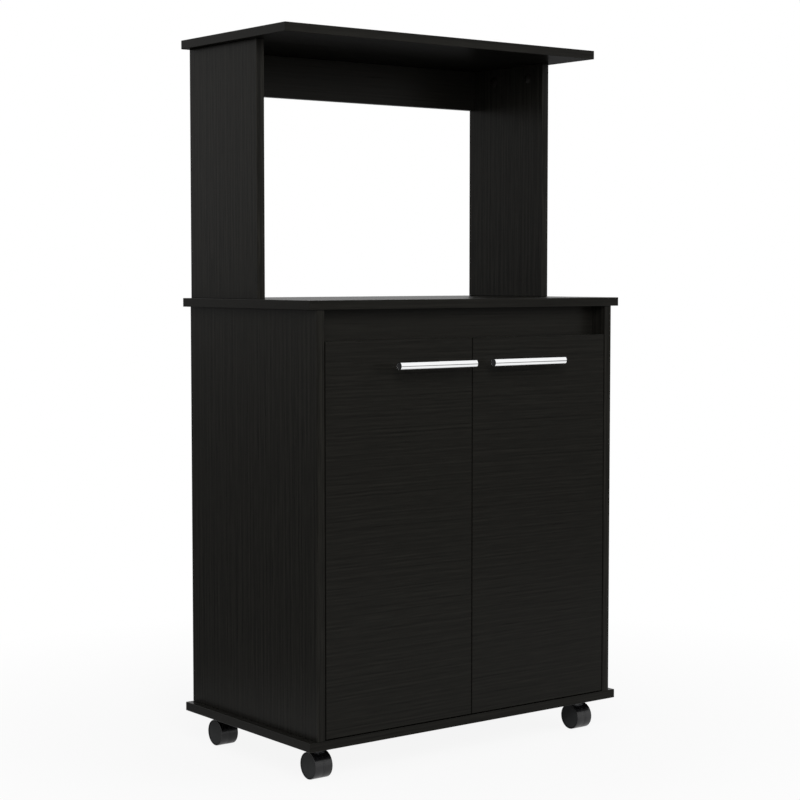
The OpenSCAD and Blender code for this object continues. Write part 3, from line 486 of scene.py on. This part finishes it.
for corner in corners:
    hub = corner + "_caster_frame"                # the boss and the web between the two wheels
    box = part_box(corner + "_outer_wheel")
    top = (box[1].z - box[0].z) / 2 - webRim["below"]
    half, bottom = webRim["half"], top - webRim["depth"]
    ring = np.array([[half, top], [half, bottom], [-half, bottom], [-half, top]])
    centre = middleOf(box)
    centre[0] = middleOf(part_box(hub))[0]
    gridPiece(corner.replace("_", "") + "WebRim", [turned(ring, centre, wheel["segments"])], bodyOf[hub],
              hub, [treadFinish], loop=True)
print("web rims made")


studio = {
    "diffuseSky": 0.5,                # the sky's strength as a light; it is seen and mirrored at full
    "floorReach": 30.0,
    "floorDrop": 0.0003,
    "floorColour": 0.6,
    "floorRoughness": 0.9,
    "floorSpecular": 0.1,
    "shadowKept": 0.1,                # share of the real shadow that shows beside the object
    "shadowRadii": (0.45, 1.3),       # it fades out between these distances from the middle
    "mirrorShares": (0.45, 0.9),      # how evenly lit the floor is in reflections, near the middle and away
    "shareRadii": (0.3, 0.6),         # the first share turns into the second between these distances
    "mirrorMiddle": (0.5, -0.6),      # middle of the floor's lit part in reflections
    "mirrorRadii": (1.1, 1.7),        # it ends between these distances from its middle
    "mirrorFar": 0.2,                 # what is left of its strength beyond them
    "lampAim": (0, 0, 0.6),
}


# One for the kinds of ray that are named, nought for others
def lightPathShare(tree, names):
    path = addNode(tree, "ShaderNodeLightPath")
    total = path.outputs[names[0]]
    for extra in names[1:]:
        total = addMath(tree, "MAXIMUM", total, path.outputs[extra])
    return total


def distanceFrom(tree, x, y):
    distance = addNode(tree, "ShaderNodeVectorMath", operation="LENGTH")
    tree.links.new(objectPlace(tree, (-x, -y, 0)), distance.inputs[0])
    return distance.outputs["Value"]


floorMesh = bpy.data.meshes.new("studioFloor")
reach = studio["floorReach"]
floorCorners = [(-reach, -reach, 0), (reach, -reach, 0), (reach, reach, 0), (-reach, reach, 0)]
floorMesh.from_pydata(floorCorners, [], [(0, 1, 2, 3)])
floor = bpy.data.objects.new("studioFloor", floorMesh)
floor.location.z = -studio["floorDrop"]
bpy.context.scene.collection.objects.link(floor)
floorFinish, tree, shader = newTree("paleFloor")
shader.inputs["Base Color"].default_value = (*(studio["floorColour"],) * 3, 1)
shader.inputs["Roughness"].default_value = studio["floorRoughness"]
shader.inputs["Specular IOR Level"].default_value = studio["floorSpecular"]

# The even white's share: nearly all for the camera, mirrorShares in reflections, none for the light itself
direct = lightPathShare(tree, ["Is Camera Ray"])
mirrored = lightPathShare(tree, ["Is Glossy Ray"])
away = distanceFrom(tree, 0, 0)
lift = addRange(tree, away, 1 - studio["shadowKept"], 1.0, *studio["shadowRadii"])
mirrorShare = addRange(tree, away, *studio["mirrorShares"], *studio["shareRadii"])
share = addMath(tree, "MULTIPLY_ADD", direct, lift, addMath(tree, "MULTIPLY", mirrored, mirrorShare))

# In reflections the white fades to mirrorFar outside the floor's lit part
fromMiddle = distanceFrom(tree, *studio["mirrorMiddle"])
fade = addRange(tree, fromMiddle, 0.0, studio["mirrorFar"] - 1, *studio["mirrorRadii"])
glow = addNode(tree, "ShaderNodeEmission", {"Color": (1, 1, 1, 1)})
tree.links.new(addMath(tree, "MULTIPLY_ADD", mirrored, fade, 1.0), glow.inputs["Strength"])
showBlend(tree, share, shader.outputs["BSDF"], glow.outputs["Emission"])
dress(floor, floorFinish)

world = bpy.data.worlds.new("whiteStudio")
bpy.context.scene.world = world
world.use_nodes = True
tree = world.node_tree
background = tree.nodes["Background"]
background.inputs["Color"].default_value = (1, 1, 1, 1)
seen = lightPathShare(tree, ["Is Camera Ray", "Is Glossy Ray", "Is Transmission Ray"])
tree.links.new(addRange(tree, seen, studio["diffuseSky"], 1.0), background.inputs["Strength"])

lamps = {
    "keyLamp": {"place": (-1.5, -2.4, 1.9), "size": 1.6, "power": 70.0},
    "fillLamp": {"place": (1.8, -2.6, 1.6), "size": 1.8, "power": 34.0},
}
for name, lamp in lamps.items():
    light = bpy.data.lights.new(name, "AREA")
    light.shape = "DISK"
    light.size = lamp["size"]
    light.energy = lamp["power"]
    stand = bpy.data.objects.new(name, light)
    bpy.context.scene.collection.objects.link(stand)
    stand.location = lamp["place"]

    # Tipped up from straight down, then turned about z towards the aim
    x, y, z = np.array(studio["lampAim"]) - np.array(lamp["place"])
    stand.rotation_euler = (math.atan2(math.hypot(x, y), -z), 0, math.atan2(-x, y))
    stand.visible_glossy = False

view = {
    "place": (-2.0568, -2.6600, 0.8246),
    "tilt": -0.066, "heading": -0.653,            # radians
    "lens": 86.19, "sensor": 36,                  # millimetres
}
cameraData = bpy.data.cameras.new("photoCamera")
cameraData.sensor_width = view["sensor"]
cameraData.lens = view["lens"]
camera = bpy.data.objects.new("photoCamera", cameraData)
bpy.context.scene.collection.objects.link(camera)
camera.location = view["place"]
camera.rotation_euler = (math.pi / 2 + view["tilt"], 0, view["heading"])
bpy.context.scene.camera = camera
bpy.context.scene.view_settings.view_transform = "Standard"
print("studio set")
